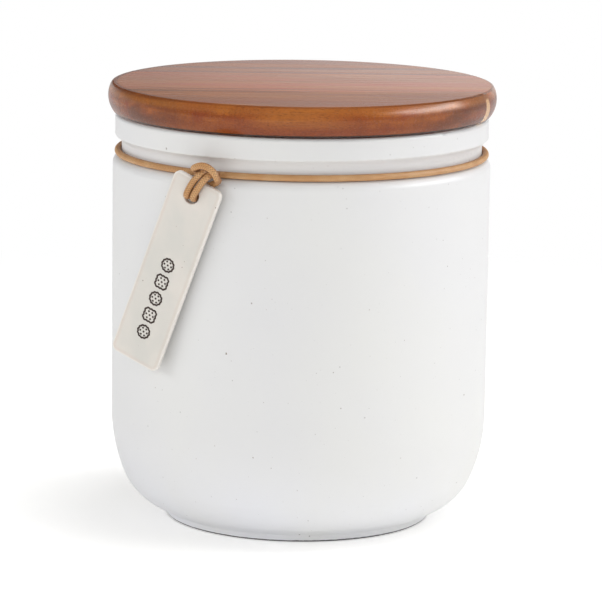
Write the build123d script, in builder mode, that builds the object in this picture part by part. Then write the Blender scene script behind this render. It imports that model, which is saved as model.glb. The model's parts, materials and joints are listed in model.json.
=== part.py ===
"""Stoneware biscuit jar with a wooden lid, a waxed cord round its neck and a hanging ceramic tag.

Frame: origin at the middle of the foot, on the surface the jar stands on; +Z up; the front is -Y.
All lengths are millimetres and all angles are degrees.
"""

import os
from math import acos, asin, cos, degrees, pi, radians, sin, sqrt

from build123d import *

os.makedirs("parts", exist_ok=True)

# Driving dimensions: stoneware jar, outside
body_radius = 78.0
heel_radii = (65.4, 23.1, 25.3)
heel_turns = (23.7, 35.7, 13.6)
foot_joint_height = 4.3
foot_inset = 2.4
foot_width = 8.0
foot_recess = 3.0
foot_round = 1.2
foot_round_turn = 82.0
foot_spread = 0.8
foot_notch = 1.2
shoulder_height = 147.4
shoulder_round = 3.9
neck_depth = 3.7
neck_rise = 8.2
neck_flare_radius = 3.8
neck_flare_turn = 62.0
rim_reach = 2.7
rim_underside_slope = 0.45
rim_underside_round = 0.9
rim_rise = 12.7
rim_round = 1.6

# Driving dimensions: stoneware jar, inside
wall_thickness = 5.0
floor_thickness = 6.0
cavity_heel_radius = 26.0
rim_width = 6.5
mouth_depth = 22.0
mouth_taper_depth = 8.0

# Driving dimensions: lid
lid_overhang = 3.0
lid_thickness = 12.1
lid_belly_height = 6.8
lid_upper_curve = 9.5
lid_lower_curve = 10.8
lid_top_round = 1.2
lid_lower_round = 0.8
lid_seat_gap = 0.6
stave_joint_offset = 29.0

# Driving dimensions: plug and seal under the lid
plug_height = 13.0
plug_edge_round = 1.5
plug_clearance = 3.5
seal_neck_depth = 2.2
seal_height = 7.2
seal_running_gap = 0.08
seal_groove_gap = 0.15
seal_sleeve = 1.3
seal_fin_thickness = 0.9
seal_fin_count = 3
seal_mouth_gap = 0.25
seal_flange_reach = 2.6

# Driving dimensions: cord
cord_diameter = 2.7
cord_wall_gap = 0.25
cord_seat_gap = 0.2
cord_end_gap = 0.2
strand_pitch = 2.95
hitch_left_reach = 4.37
hitch_right_reach = 5.43
hitch_lead = 3.3
knot_azimuth = 152.0
knot_stand = 5.2
knot_approach = 18.0
knot_lead = 3.0
right_lead_bend = 8.0
left_lead_bend = 5.0
fold_slack = 0.01

# Driving dimensions: tag
tag_width = 22.4
tag_length = 82.0
tag_thickness = 2.4
tag_corner = 2.8
tag_edge_round = 0.7
tag_hole_diameter = 6.6
tag_hole_round = 0.5
tag_hole_from_top = 7.0
tag_hole_from_left = 10.3
tag_wall_gap = 0.3
tag_strand_gap = 0.3
tag_facing = -27.0
tag_lean = 2.2
tag_tilt = 22.2
tag_hole_drop = 8.1
tag_hole_side = -6.1

# Worked-out places
neck_radius = body_radius - neck_depth
neck_flare_height = shoulder_height + neck_rise
rim_radius = neck_radius + rim_reach
rim_height = neck_flare_height + rim_rise
mouth_radius = rim_radius - rim_width
lid_radius = rim_radius + lid_overhang
cord_radius = cord_diameter / 2
cord_ring_radius = neck_radius + cord_wall_gap + cord_radius
shoulder_centre_radius = body_radius - shoulder_round
cord_reach = cord_ring_radius - shoulder_centre_radius
cord_stand_off = shoulder_round + cord_seat_gap + cord_radius
cord_height = shoulder_height + sqrt(cord_stand_off**2 - cord_reach**2)
lid_bottom = rim_height + lid_seat_gap
lid_top = lid_bottom + lid_thickness
plug_radius = mouth_radius - plug_clearance
plug_bottom = lid_bottom - plug_height
hitch_left_azimuth = tag_facing - degrees(hitch_left_reach / cord_ring_radius)
hitch_right_azimuth = tag_facing + degrees(hitch_right_reach / cord_ring_radius)


def ring_point(azimuth, radius, height):
    """Point at an azimuth counted from the front (-Y), growing towards +X."""
    return Vector(radius * sin(radians(azimuth)), -radius * cos(radians(azimuth)), height)


def ring_tangent(azimuth):
    """Unit vector along the ring at an azimuth, towards growing azimuth."""
    return Vector(cos(radians(azimuth)), sin(radians(azimuth)), 0)


# Jar body: one revolved wall from the foot ring, up the heel, shoulder, neck groove and rim
foot_joint_radius = body_radius
heel_height = foot_joint_height
turned = 0.0
for radius, turn in zip(heel_radii, heel_turns):
    foot_joint_radius -= radius * (cos(radians(turned)) - cos(radians(turned + turn)))
    heel_height += radius * (sin(radians(turned + turn)) - sin(radians(turned)))
    turned += turn
foot_radius = foot_joint_radius - foot_inset
foot_inner_radius = foot_radius - foot_width
cavity_radius = body_radius - wall_thickness
cavity_floor = foot_recess + floor_thickness
mouth_bottom = rim_height - mouth_depth
shoulder_turn = degrees(acos((neck_radius - shoulder_centre_radius) / shoulder_round))

with BuildPart() as jar_body:
    with BuildSketch(Plane.XZ) as jar_section:
        with BuildLine():
            base = Line((0, foot_recess), (foot_inner_radius - foot_recess, foot_recess))
            ring_inside = Line(base @ 1, (foot_inner_radius, 0))
            ring_under = Line(ring_inside @ 1, (foot_radius - foot_round, 0))
            ring_round = JernArc(ring_under @ 1, (1, 0), foot_round, foot_round_turn)
            ring_top = (foot_radius + foot_spread, foot_joint_height - foot_notch)
            ring_outside = Line(ring_round @ 1, ring_top)
            heel_start = (body_radius, heel_height)
            heel_top = JernArc(heel_start, (0, -1), heel_radii[0], -heel_turns[0])
            heel_middle = JernArc(heel_top @ 1, heel_top % 1, heel_radii[1], -heel_turns[1])
            heel_bottom = JernArc(heel_middle @ 1, heel_middle % 1, heel_radii[2], -heel_turns[2])
            Line(heel_bottom @ 1, ring_top)
            wall = Line(heel_start, (body_radius, shoulder_height))
            shoulder = JernArc(wall @ 1, (0, 1), shoulder_round, shoulder_turn)
            neck = Line(shoulder @ 1, (neck_radius, neck_flare_height))
            flare = JernArc(neck @ 1, (0, 1), neck_flare_radius, -neck_flare_turn)
            underside_rise = (rim_radius - (flare @ 1).X) * rim_underside_slope
            underside_end = (rim_radius, (flare @ 1).Y + underside_rise)
            underside = Line(flare @ 1, underside_end)
            band = Line(underside @ 1, (rim_radius, rim_height))
            rim = Line(band @ 1, (mouth_radius, rim_height))
            mouth = Line(rim @ 1, (mouth_radius, mouth_bottom))
            taper = Line(mouth @ 1, (cavity_radius, mouth_bottom - mouth_taper_depth))
            inner_wall = Line(taper @ 1, (cavity_radius, cavity_floor + cavity_heel_radius))
            inner_heel = JernArc(inner_wall @ 1, (0, -1), cavity_heel_radius, -90)
            inner_floor = Line(inner_heel @ 1, (0, cavity_floor))
            Line(inner_floor @ 1, base @ 0)
        make_face()
        rim_corners = jar_section.vertices().group_by(Axis.Y)[-1]
        fillet(rim_corners, rim_round)
        underside_corner = jar_section.vertices().sort_by_distance((*underside_end, 0))[0]
        fillet(underside_corner, rim_underside_round)
        taper_corners = [
            jar_section.vertices().sort_by_distance((mouth_radius, mouth_bottom))[0],
            jar_section.vertices().sort_by_distance((cavity_radius, mouth_bottom - mouth_taper_depth))[0],
        ]
        fillet(taper_corners, mouth_taper_depth)
    revolve(axis=Axis.Z)
jar_body.part.label = "jar_body"
export_step(jar_body.part, "parts/jar_body.step")


# Lid: three boards glued edge to edge, turned together to one round with a bellied edge
lid_belly = (lid_radius, lid_bottom + lid_belly_height)
lid_upper_turn = degrees(asin((lid_thickness - lid_belly_height) / lid_upper_curve))
lid_lower_turn = degrees(asin(lid_belly_height / lid_lower_curve))

with BuildSketch(Plane.XZ) as lid_section:
    with BuildLine():
        lid_upper = JernArc(lid_belly, (0, 1), lid_upper_curve, lid_upper_turn)
        lid_lower = JernArc(lid_belly, (0, -1), lid_lower_curve, -lid_lower_turn)
        Polyline(lid_upper @ 1, (0, lid_top), (0, lid_bottom), lid_lower @ 1)
    make_face()
    fillet(lid_section.vertices().sort_by_distance(lid_upper @ 1)[0], lid_top_round)
    fillet(lid_section.vertices().sort_by_distance(lid_lower @ 1)[0], lid_lower_round)

front_joint = Plane.XZ.offset(stave_joint_offset)
back_joint = Plane.XZ.offset(-stave_joint_offset)

with BuildPart() as lid_stave_front:
    revolve(lid_section.sketch, axis=Axis.Z)
    split(bisect_by=front_joint, keep=Keep.TOP)
lid_stave_front.part.label = "lid_stave_front"
export_step(lid_stave_front.part, "parts/lid_stave_front.step")

with BuildPart() as lid_stave_middle:
    revolve(lid_section.sketch, axis=Axis.Z)
    split(bisect_by=front_joint, keep=Keep.BOTTOM)
    split(bisect_by=back_joint, keep=Keep.TOP)
lid_stave_middle.part.label = "lid_stave_middle"
export_step(lid_stave_middle.part, "parts/lid_stave_middle.step")

with BuildPart() as lid_stave_back:
    revolve(lid_section.sketch, axis=Axis.Z)
    split(bisect_by=back_joint, keep=Keep.BOTTOM)
lid_stave_back.part.label = "lid_stave_back"
export_step(lid_stave_back.part, "parts/lid_stave_back.step")

# Plug: a wooden disc under the lid, with a neck for the seal above its lip
plug_neck_radius = plug_radius - seal_neck_depth
seal_bottom = lid_bottom - seal_height
plug_lip_top = seal_bottom - seal_groove_gap

with BuildPart() as lid_plug:
    with BuildSketch(Plane.XZ) as plug_section:
        with BuildLine():
            Polyline(
                (0, plug_bottom),
                (plug_radius, plug_bottom),
                (plug_radius, plug_lip_top),
                (plug_neck_radius, plug_lip_top),
                (plug_neck_radius, lid_bottom),
                (0, lid_bottom),
                close=True,
            )
        make_face()
        plug_corner = plug_section.vertices().sort_by_distance((plug_radius, plug_bottom))[0]
        fillet(plug_corner, plug_edge_round)
    revolve(axis=Axis.Z)
lid_plug.part.label = "lid_plug"
export_step(lid_plug.part, "parts/lid_plug.step")

# Seal: a soft sleeve on the plug's neck, with a flange between lid and rim and fins to the mouth
seal_inner_radius = plug_neck_radius + seal_running_gap
seal_sleeve_radius = seal_inner_radius + seal_sleeve
seal_fin_radius = mouth_radius - seal_mouth_gap
seal_fin_pitch = (seal_height - lid_seat_gap - seal_fin_thickness) / seal_fin_count

with BuildPart() as lid_seal:
    with BuildSketch(Plane.XZ):
        with Locations((seal_inner_radius, seal_bottom)):
            Rectangle(seal_sleeve, seal_height, align=(Align.MIN, Align.MIN))
        with Locations((seal_inner_radius, rim_height)):
            flange_width = mouth_radius + seal_flange_reach - seal_inner_radius
            Rectangle(flange_width, lid_seat_gap, align=(Align.MIN, Align.MIN))
        for fin in range(seal_fin_count):
            with Locations((seal_inner_radius, seal_bottom + fin * seal_fin_pitch)):
                fin_width = seal_fin_radius - seal_inner_radius
                Rectangle(fin_width, seal_fin_thickness, align=(Align.MIN, Align.MIN))
    revolve(axis=Axis.Z)
lid_seal.part.label = "lid_seal"
export_step(lid_seal.part, "parts/lid_seal.step")

# Tag: a fired-clay plate leaning a little outwards at its top and hanging at a slant
tag_stand = body_radius + tag_wall_gap + cord_diameter + tag_strand_gap + tag_thickness / 2
tag_outward = Vector(0, -1, 0).rotate(Axis.Z, tag_facing)
tag_sideways = Vector(1, 0, 0).rotate(Axis.Z, tag_facing)
tag_origin = tag_outward * tag_stand + tag_sideways * tag_hole_side
tag_origin += Vector(0, 0, cord_height - tag_hole_drop)
tag_normal = tag_outward.rotate(Axis((0, 0, 0), tag_sideways), tag_lean)
tag_across = tag_sideways.rotate(Axis((0, 0, 0), tag_normal), -tag_tilt)
tag_plane = Plane(origin=tag_origin, x_dir=tag_across, z_dir=tag_normal)
tag_axis = Axis(tag_plane.origin, tag_plane.z_dir)

with BuildPart() as tag:
    with BuildSketch(tag_plane.offset(-tag_thickness / 2)):
        plate_middle = (tag_width / 2 - tag_hole_from_left, tag_hole_from_top - tag_length / 2)
        with Locations(plate_middle):
            RectangleRounded(tag_width, tag_length, tag_corner)
        Circle(tag_hole_diameter / 2, mode=Mode.SUBTRACT)
    extrude(amount=tag_thickness)
    for face in (tag.faces().sort_by(tag_axis)[0], tag.faces().sort_by(tag_axis)[-1]):
        fillet(face.inner_wires()[0].edges(), tag_hole_round)
    for face in (tag.faces().sort_by(tag_axis)[0], tag.faces().sort_by(tag_axis)[-1]):
        fillet(face.outer_wire().edges(), tag_edge_round)
tag.part.label = "tag"
export_step(tag.part, "parts/tag.step")

# Hitch: the middle of the cord, looped through the tag's hole and over its own two ends (a lark's
# head). Its points are (across, along, out) in the tag's plane, chosen by hand, each with the
# radius of its bend.
strand_level = tag_thickness / 2 + tag_strand_gap + cord_radius
strand_side = strand_pitch / 2
fold_radius = strand_level - fold_slack
hitch_points = [
    ((1.1, 10.6, strand_level), 2.7),
    ((-strand_side, 0.7, strand_level), fold_radius),
    ((-strand_side, 0.7, -strand_level), fold_radius),
    ((-1.7, 8.6, -strand_level), 3.0),
    ((-1.6, 13.5, 3.4), 4.2),
    ((7.4, 13.5, 3.4), 4.2),
    ((7.6, 9.0, -strand_level), 3.0),
    ((1.9, 4.8, -strand_level), 2.2),
    ((strand_side, 0.7, -strand_level), fold_radius),
    ((strand_side, 0.7, strand_level), fold_radius),
    ((4.3, 11.3, strand_level), 2.7),
]
hitch_entry_radius = 2.5
hitch_start = ring_point(hitch_left_azimuth, cord_ring_radius, cord_height)
hitch_end = ring_point(hitch_right_azimuth, cord_ring_radius, cord_height)
hitch_route_points = [hitch_start, hitch_start + ring_tangent(hitch_left_azimuth) * hitch_lead]
hitch_route_points += [tag_plane.from_local_coords(point) for point, bend in hitch_points]
hitch_route_points += [hitch_end - ring_tangent(hitch_right_azimuth) * hitch_lead, hitch_end]
hitch_bends = [hitch_entry_radius] + [bend for point, bend in hitch_points] + [hitch_entry_radius]

with BuildPart() as cord_hitch:
    with BuildLine() as hitch_route:
        FilletPolyline(*hitch_route_points, radius=hitch_bends)
    with BuildSketch(Plane(origin=hitch_route.line @ 0, z_dir=hitch_route.line % 0)):
        Circle(cord_radius)
    sweep(path=hitch_route.line)
cord_hitch.part.label = "cord_hitch"
export_step(cord_hitch.part, "parts/cord_hitch.step")

# Knot: the cord's two ends are tied in a flat square knot at the back. One end's points are
# (towards the knot, up, out from the knot's middle), and the other end's are mirrored.
knot_origin = ring_point(knot_azimuth, cord_ring_radius + knot_stand, cord_height)
knot_plane = Plane(origin=knot_origin, x_dir=ring_tangent(knot_azimuth), z_dir=ring_point(knot_azimuth, 1, 0))
under_end = [
    ((-8.3, 1.4, -1.5), 3.0),
    ((-5.4, 1.5, -1.6), 3.0),
    ((-1.5, 1.5, 1.5), 2.4),
    ((1.5, 4.2, 1.5), 2.4),
    ((6.4, 4.4, -1.5), 3.2),
    ((6.4, -4.4, -1.5), 3.2),
    ((1.5, -4.2, 1.5), 2.4),
    ((-1.5, -1.5, 1.5), 2.4),
    ((-5.4, -1.5, -1.6), 3.0),
    ((-8.3, -1.5, -1.5), 3.0),
]
over_end = [((-across, up, -out), bend) for (across, up, out), bend in under_end]
under_tail = (-12.0, -2.6, -1.1)
over_tail = (12.0, -2.6, 0.7)


def knot_route(junction, azimuth_step, lead_bend, points, tail):
    """Cord run round the neck from a junction azimuth to the knot, through it and out to its tail."""
    approach_angle = degrees(knot_approach / cord_ring_radius)
    arc_end = knot_azimuth - azimuth_step * approach_angle
    if azimuth_step < 0:
        arc_end -= 360
    start = ring_point(junction, cord_ring_radius, cord_height)
    middle = ring_point((junction + arc_end) / 2, cord_ring_radius, cord_height)
    finish = ring_point(arc_end, cord_ring_radius, cord_height)
    lead = finish + ring_tangent(arc_end) * azimuth_step * knot_lead
    inner_points = [lead] + [knot_plane.from_local_coords(point) for point, bend in points]
    bends = [lead_bend] + [bend for point, bend in points]
    with BuildLine() as route:
        ThreePointArc(start, middle, finish)
        FilletPolyline(finish, *inner_points, knot_plane.from_local_coords(tail), radius=bends)
    return route.line


end_gap_angle = degrees(cord_end_gap / cord_ring_radius)
right_route = knot_route(hitch_right_azimuth + end_gap_angle, 1, right_lead_bend, under_end, under_tail)
left_route = knot_route(hitch_left_azimuth - end_gap_angle, -1, left_lead_bend, over_end, over_tail)

with BuildPart() as cord_right:
    with BuildSketch(Plane(origin=right_route @ 0, z_dir=right_route % 0)):
        Circle(cord_radius)
    sweep(path=right_route)
cord_right.part.label = "cord_right"
export_step(cord_right.part, "parts/cord_right.step")

with BuildPart() as cord_left:
    with BuildSketch(Plane(origin=left_route @ 0, z_dir=left_route % 0)):
        Circle(cord_radius)
    sweep(path=left_route)
cord_left.part.label = "cord_left"
export_step(cord_left.part, "parts/cord_left.step")

for name, route, run in (
    ("hitch", hitch_route.line, cord_hitch),
    ("right", right_route, cord_right),
    ("left", left_route, cord_left),
):
    length = sum(edge.length for edge in route.edges())
    ratio = run.part.volume / (length * pi * cord_radius**2)
    print(name, "length", round(length, 1), "volume over section times length", round(ratio, 4))
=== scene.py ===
"""Looks of the stoneware biscuit jar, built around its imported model.

The jar, the lid, the seal and the tag keep their own solids and get procedural finishes. The neck
cord with its hitch and knot, and the marks on the tag, are meshes made here. Sizes are written in
millimetres and turned into metres by MM. The frame is the model's own: +Z up, the front is -Y.
"""

import json
import logging
from collections.abc import Sequence
from dataclasses import dataclass, field
from enum import Enum
from math import cos, degrees, pi, radians, sin

import bpy
from mathutils import Matrix, Vector

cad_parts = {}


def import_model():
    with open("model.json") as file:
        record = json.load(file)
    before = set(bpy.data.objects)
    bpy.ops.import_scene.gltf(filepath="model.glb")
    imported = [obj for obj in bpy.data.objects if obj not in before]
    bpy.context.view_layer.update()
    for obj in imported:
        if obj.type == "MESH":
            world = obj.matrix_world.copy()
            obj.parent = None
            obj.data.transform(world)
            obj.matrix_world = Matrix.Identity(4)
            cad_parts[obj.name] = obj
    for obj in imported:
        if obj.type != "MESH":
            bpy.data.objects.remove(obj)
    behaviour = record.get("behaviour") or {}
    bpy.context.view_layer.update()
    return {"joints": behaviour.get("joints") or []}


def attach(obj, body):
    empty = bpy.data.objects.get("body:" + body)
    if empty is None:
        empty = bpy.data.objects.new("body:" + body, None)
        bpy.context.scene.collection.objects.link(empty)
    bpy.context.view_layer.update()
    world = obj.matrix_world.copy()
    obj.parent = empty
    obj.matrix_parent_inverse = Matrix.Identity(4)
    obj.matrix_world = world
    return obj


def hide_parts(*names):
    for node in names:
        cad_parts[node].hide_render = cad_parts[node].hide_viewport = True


LOG = logging.getLogger("biscuit_jar")
MM = 0.001
TURN = 2 * pi
TINY = 1e-6
LEVEL = (1.0, 1.0, 0.0)
OUT_OF_REACH = 400.0

Colour = tuple[float, float, float]
Point = tuple[float, float, float]
Span = tuple[float, float]
Socket = bpy.types.NodeSocket
Material = bpy.types.Material
Object = bpy.types.Object


def srgb(red: float, green: float, blue: float) -> Colour:
    """Linear colour of a display colour.

    Args:
        red: Red, 0 to 255.
        green: Green, 0 to 255.
        blue: Blue, 0 to 255.

    Returns:
        The three linear values, 0 to 1.
    """
    values = []
    for value in (red, green, blue):
        share = value / 255
        values.append(share / 12.92 if share <= 0.04045 else ((share + 0.055) / 1.055) ** 2.4)
    return (values[0], values[1], values[2])


def even(side: float) -> Point:
    """The same size along X, Y and Z."""
    return (side, side, side)


class Slot(Enum):
    """Material slots of the record."""

    GLAZE = "stoneware_glaze"
    BOARD_OUTER = "lid_board_outer"
    BOARD_MIDDLE = "lid_board_middle"
    PLUG = "plug_wood"
    SEAL = "seal_silicone"
    CORD = "waxed_cord"
    TAG = "tag_glaze"


class Ray(Enum):
    """Light Path outputs of the rays that see the backdrop."""

    CAMERA = "Is Camera Ray"
    GLOSSY = "Is Glossy Ray"
    TRANSMISSION = "Is Transmission Ray"
    DIFFUSE = "Is Diffuse Ray"


# ---------------- node trees


class Graph:
    """Short calls that add nodes to one node tree and link them."""

    def __init__(self, tree: bpy.types.NodeTree) -> None:
        """Takes the tree that the calls add to."""
        self.tree = tree

    def add(self, kind: str, inputs: dict | None = None, **settings: object) -> bpy.types.Node:
        """Adds a node, sets it up and links its inputs.

        Args:
            kind: Blender's type name of the node.
            inputs: Values or sockets, by the name or number of the input they go to.
            settings: Attributes set on the node before its inputs.

        Returns:
            The new node.
        """
        node = self.tree.nodes.new(kind)
        for name, value in settings.items():
            setattr(node, name, value)
        for key, value in (inputs or {}).items():
            self.plug(value, node.inputs[key])
        return node

    def plug(self, value: object, socket: Socket) -> None:
        """Links a socket to an input, or sets a plain value on it.

        Args:
            value: Output socket, number, vector or colour.
            socket: The input.
        """
        if isinstance(value, Socket):
            self.tree.links.new(value, socket)
        elif socket.type == "RGBA" and len(value) == 3:
            socket.default_value = (*value, 1.0)
        else:
            socket.default_value = value

    def math(self, operation: str, *values: object) -> Socket:
        """Result of a Math node."""
        return self.add("ShaderNodeMath", dict(enumerate(values)), operation=operation).outputs[0]

    def times(self, *values: object) -> Socket:
        """Product of two or more numbers.

        Args:
            values: Numbers or sockets.

        Returns:
            The product.
        """
        product, *others = values
        for value in others:
            product = self.math("MULTIPLY", product, value)
        return product

    def rest(self, share: object) -> Socket:
        """What a share leaves of 1."""
        return self.math("SUBTRACT", 1.0, share)

    def either(self, first: object, second: object) -> Socket:
        """The larger of two numbers."""
        return self.math("MAXIMUM", first, second)

    def vector(self, operation: str, *values: object) -> Socket:
        """Vector result of a Vector Math node.

        Args:
            operation: Blender's name of the operation.
            values: Its inputs, in order.

        Returns:
            The result.
        """
        inputs = dict(enumerate(values))
        if operation == "SCALE":
            inputs = {0: values[0], "Scale": values[1]}
        return self.add("ShaderNodeVectorMath", inputs, operation=operation).outputs[0]

    def length(self, vector: Socket) -> Socket:
        """Length of a vector."""
        return self.add("ShaderNodeVectorMath", {0: vector}, operation="LENGTH").outputs["Value"]

    def parts(self, vector: Socket) -> tuple[Socket, Socket, Socket]:
        """X, Y and Z of a vector."""
        node = self.add("ShaderNodeSeparateXYZ", {0: vector})
        return (node.outputs[0], node.outputs[1], node.outputs[2])

    def join(self, x: object, y: object, z: object) -> Socket:
        """Vector with the given X, Y and Z."""
        return self.add("ShaderNodeCombineXYZ", {0: x, 1: y, 2: z}).outputs[0]

    def blend(self, share: object, first: object, second: object) -> Socket:
        """Number between two others."""
        return self.add("ShaderNodeMix", {0: share, 2: first, 3: second}).outputs[0]

    def rise(self, value: object, low: object, high: object) -> Socket:
        """Smooth step of a value: 0 at low, 1 at high.

        Args:
            value: The value.
            low: Where the step starts, which may be the larger one.
            high: Where it ends.

        Returns:
            The step, 0 to 1.
        """
        inputs = {0: value, 1: low, 2: high, 3: 0.0, 4: 1.0}
        node = self.add("ShaderNodeMapRange", inputs, interpolation_type="SMOOTHSTEP")
        return node.outputs[0]

    def over(self, value: object, span: Span, start: float = 0.0) -> Socket:
        """Smooth step of a value over a span that is counted from start."""
        return self.rise(value, start + span[0], start + span[1])


class Shader(Graph):
    """Node tree of one material. Its patterns are laid out in millimetres of object space."""

    def __init__(self, name: str) -> None:
        """Makes the material with its principled surface.

        Args:
            name: Name of the material.
        """
        self.material = bpy.data.materials.new(name)
        self.material.use_nodes = True
        super().__init__(self.material.node_tree)
        self.surface = self.tree.nodes["Principled BSDF"]
        self.output = self.tree.nodes["Material Output"]
        coordinates = self.add("ShaderNodeTexCoord").outputs["Object"]
        self.place = self.vector("SCALE", coordinates, 1 / MM)

    def finish(self, **values: object) -> Material:
        """Sets the principled surface.

        Args:
            values: Values or sockets, by the input's name with spaces as underscores.

        Returns:
            The material.
        """
        for name, value in values.items():
            self.plug(value, self.surface.inputs[name.replace("_", " ")])
        return self.material

    def stretch(self, vector: Socket, size: Point) -> Socket:
        """Pattern space in which one unit is as long as size, in millimetres, along each axis."""
        scale = tuple(1 / length for length in size)
        return self.add("ShaderNodeMapping", {"Vector": vector, "Scale": scale}).outputs[0]

    def noise(self, vector: Socket, scale: float, detail: float, rough: float = 0.5) -> Socket:
        """Noise value, about 0.5 on average."""
        inputs = {"Vector": vector, "Scale": scale, "Detail": detail, "Roughness": rough}
        return self.add("ShaderNodeTexNoise", inputs).outputs[0]

    def mix(self, share: object, first: object, second: object) -> Socket:
        """Mix of two colours."""
        inputs = {0: share, 6: first, 7: second}
        return self.add("ShaderNodeMix", inputs, data_type="RGBA").outputs[2]

    def ramp(self, factor: Socket, stops: Sequence[tuple[float, Colour]]) -> Socket:
        """Colour of a ramp through the given stops.

        Args:
            factor: Place on the ramp, 0 to 1.
            stops: Place and colour of each stop.

        Returns:
            The colour.
        """
        node = self.add("ShaderNodeValToRGB", {0: factor})
        elements = node.color_ramp.elements
        while len(elements) < len(stops):
            elements.new(1.0)
        for element, (position, colour) in zip(elements, stops):
            element.position = position
            element.color = (*colour, 1.0)
        return node.outputs[0]

    def bump(self, height: Socket, depth: float) -> Socket:
        """Normal of a relief, depth millimetres high where height is 1."""
        inputs = {"Height": height, "Distance": depth * MM, "Strength": 1.0}
        return self.add("ShaderNodeBump", inputs).outputs[0]


# ---------------- finishes


@dataclass(frozen=True)
class Pattern:
    """Noise through a material: its size along each axis, and the span over which it shows."""

    size: Point
    span: Span = (0.0, 1.0)
    detail: float = 2.0
    rough: float = 0.5

    def value(self, shader: Shader, place: Socket | None = None) -> Socket:
        """The noise at a place in millimetres, or at the point itself."""
        stretched = shader.stretch(shader.place if place is None else place, self.size)
        return shader.noise(stretched, 1.0, self.detail, self.rough)

    def cover(self, shader: Shader, place: Socket | None = None) -> Socket:
        """How much of the pattern shows, 0 to 1."""
        return shader.over(self.value(shader, place), self.span)


@dataclass(frozen=True)
class Specks:
    """One size of iron speck in the clay, scattered through space and cut by the surface."""

    spacing: float
    radius: float
    share: float
    strength: float
    shift: float
    smallest: float = 0.35
    ragged: float = 0.5
    core: float = 0.45
    faintest: float = 0.4

    def cover(self, shader: Shader) -> Socket:
        """How much of the speck colour shows at a point, 0 to its strength.

        Args:
            shader: Shader of the material.

        Returns:
            The cover, 0 to the strength of the specks.
        """
        wobble = shader.noise(shader.place, 1 / self.radius, 1.0)
        moved = shader.vector("ADD", shader.place, even(self.shift))
        cell = shader.stretch(moved, even(self.spacing))
        voronoi = shader.add("ShaderNodeTexVoronoi", {"Vector": cell, "Scale": 1.0}).outputs
        chance, size, depth = shader.parts(voronoi["Color"])
        distance = shader.times(voronoi["Distance"], self.spacing)
        edge = shader.times(shader.math("ADD", size, self.smallest), self.radius)
        edge = shader.times(edge, shader.math("ADD", wobble, self.ragged))
        spot = shader.rest(shader.rise(distance, shader.times(edge, self.core), edge))
        shown = shader.math("LESS_THAN", chance, self.share)
        strength = shader.blend(depth, self.strength * self.faintest, self.strength)
        return shader.times(spot, shown, strength)


@dataclass(frozen=True)
class StonewareGlaze:
    """Soft white glaze over speckled stoneware, wiped off the ring that the jar stands on.

    It is painted lighter towards the foot as light, and the bare ring is painted dark as shadow.
    """

    white: Colour = srgb(236, 236, 237)
    # Painted light: glaze lighter and bluer towards the foot, partly pooling, partly light on the
    # heel.
    heel_light_and_pooling: Colour = srgb(241, 242, 247)
    cloudy: Colour = srgb(239, 239, 237)
    speck_brown: Colour = srgb(112, 88, 66)
    speck_grey: Colour = srgb(120, 118, 114)
    # Painted shadow: bare clay and grog are dark neutral grey, set high, for the gap under the
    # foot.
    bare_clay_and_gap_shadow: Colour = srgb(112, 110, 112)
    grog_and_gap_shadow: Colour = srgb(84, 82, 84)
    heel_light_heights: Span = (3.0, 48.0)
    glaze_line: Span = (0.5, 0.9)
    line_blur: Span = (-0.1, 0.1)
    roughness: float = 0.40
    clay_roughness: float = 0.85
    relief: float = 0.10
    peel_share: float = 0.06
    clouds: Pattern = Pattern((60.0, 60.0, 90.0), (0.3, 0.8), detail=3.0)
    iron: Pattern = Pattern(even(7.0), (0.42, 0.58), detail=0.0)
    line: Pattern = Pattern(even(3.0), detail=3.0)
    grain: Pattern = Pattern(even(0.35), (0.3, 0.75), detail=4.0)
    waves: Pattern = Pattern((9.0, 9.0, 7.0))
    peel: Pattern = Pattern(even(1.3), detail=1.0)
    specks: tuple[Specks, ...] = (
        Specks(spacing=1.9, radius=0.16, share=0.55, strength=0.30, shift=3.0),
        Specks(spacing=3.4, radius=0.27, share=0.60, strength=0.62, shift=11.0),
        Specks(spacing=8.5, radius=0.48, share=0.55, strength=0.95, shift=29.0),
    )

    def make(self) -> Material:
        """Builds the material.

        Returns:
            The material.
        """
        shader = Shader(Slot.GLAZE.value)
        height = shader.parts(shader.place)[2]
        # Painted light towards the foot, partly glaze pooling.
        heel_light_and_pooling = shader.rest(shader.over(height, self.heel_light_heights))
        colour = shader.mix(heel_light_and_pooling, self.white, self.heel_light_and_pooling)
        colour = shader.mix(self.clouds.cover(shader), colour, self.cloudy)
        speck = shader.mix(self.iron.cover(shader), self.speck_brown, self.speck_grey)
        for specks in self.specks:
            colour = shader.mix(specks.cover(shader), colour, speck)
        line = shader.blend(self.line.value(shader), *self.glaze_line)
        glazed = shader.over(shader.math("SUBTRACT", height, line), self.line_blur)
        # Painted shadow: the bare ring's dark grey stands in for the gap's shadow under the foot.
        clay = shader.mix(self.grain.cover(shader), self.bare_clay_and_gap_shadow, self.grog_and_gap_shadow)
        colour = shader.mix(glazed, clay, colour)
        relief = (self.peel.value(shader), self.peel_share, self.waves.value(shader))
        return shader.finish(
            Base_Color=colour,
            Roughness=shader.blend(glazed, self.clay_roughness, self.roughness),
            Normal=shader.bump(shader.math("MULTIPLY_ADD", *relief), self.relief),
        )


@dataclass(frozen=True)
class Spot:
    """Where a point of the lid is: its X, Y and Z and its distance from the axis."""

    x: Socket
    y: Socket
    z: Socket
    radius: Socket

    @classmethod
    def of(cls, shader: Shader) -> "Spot":
        """The point that a shader is at, in millimetres."""
        flat = shader.vector("MULTIPLY", shader.place, LEVEL)
        return cls(*shader.parts(shader.place), shader.length(flat))


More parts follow.
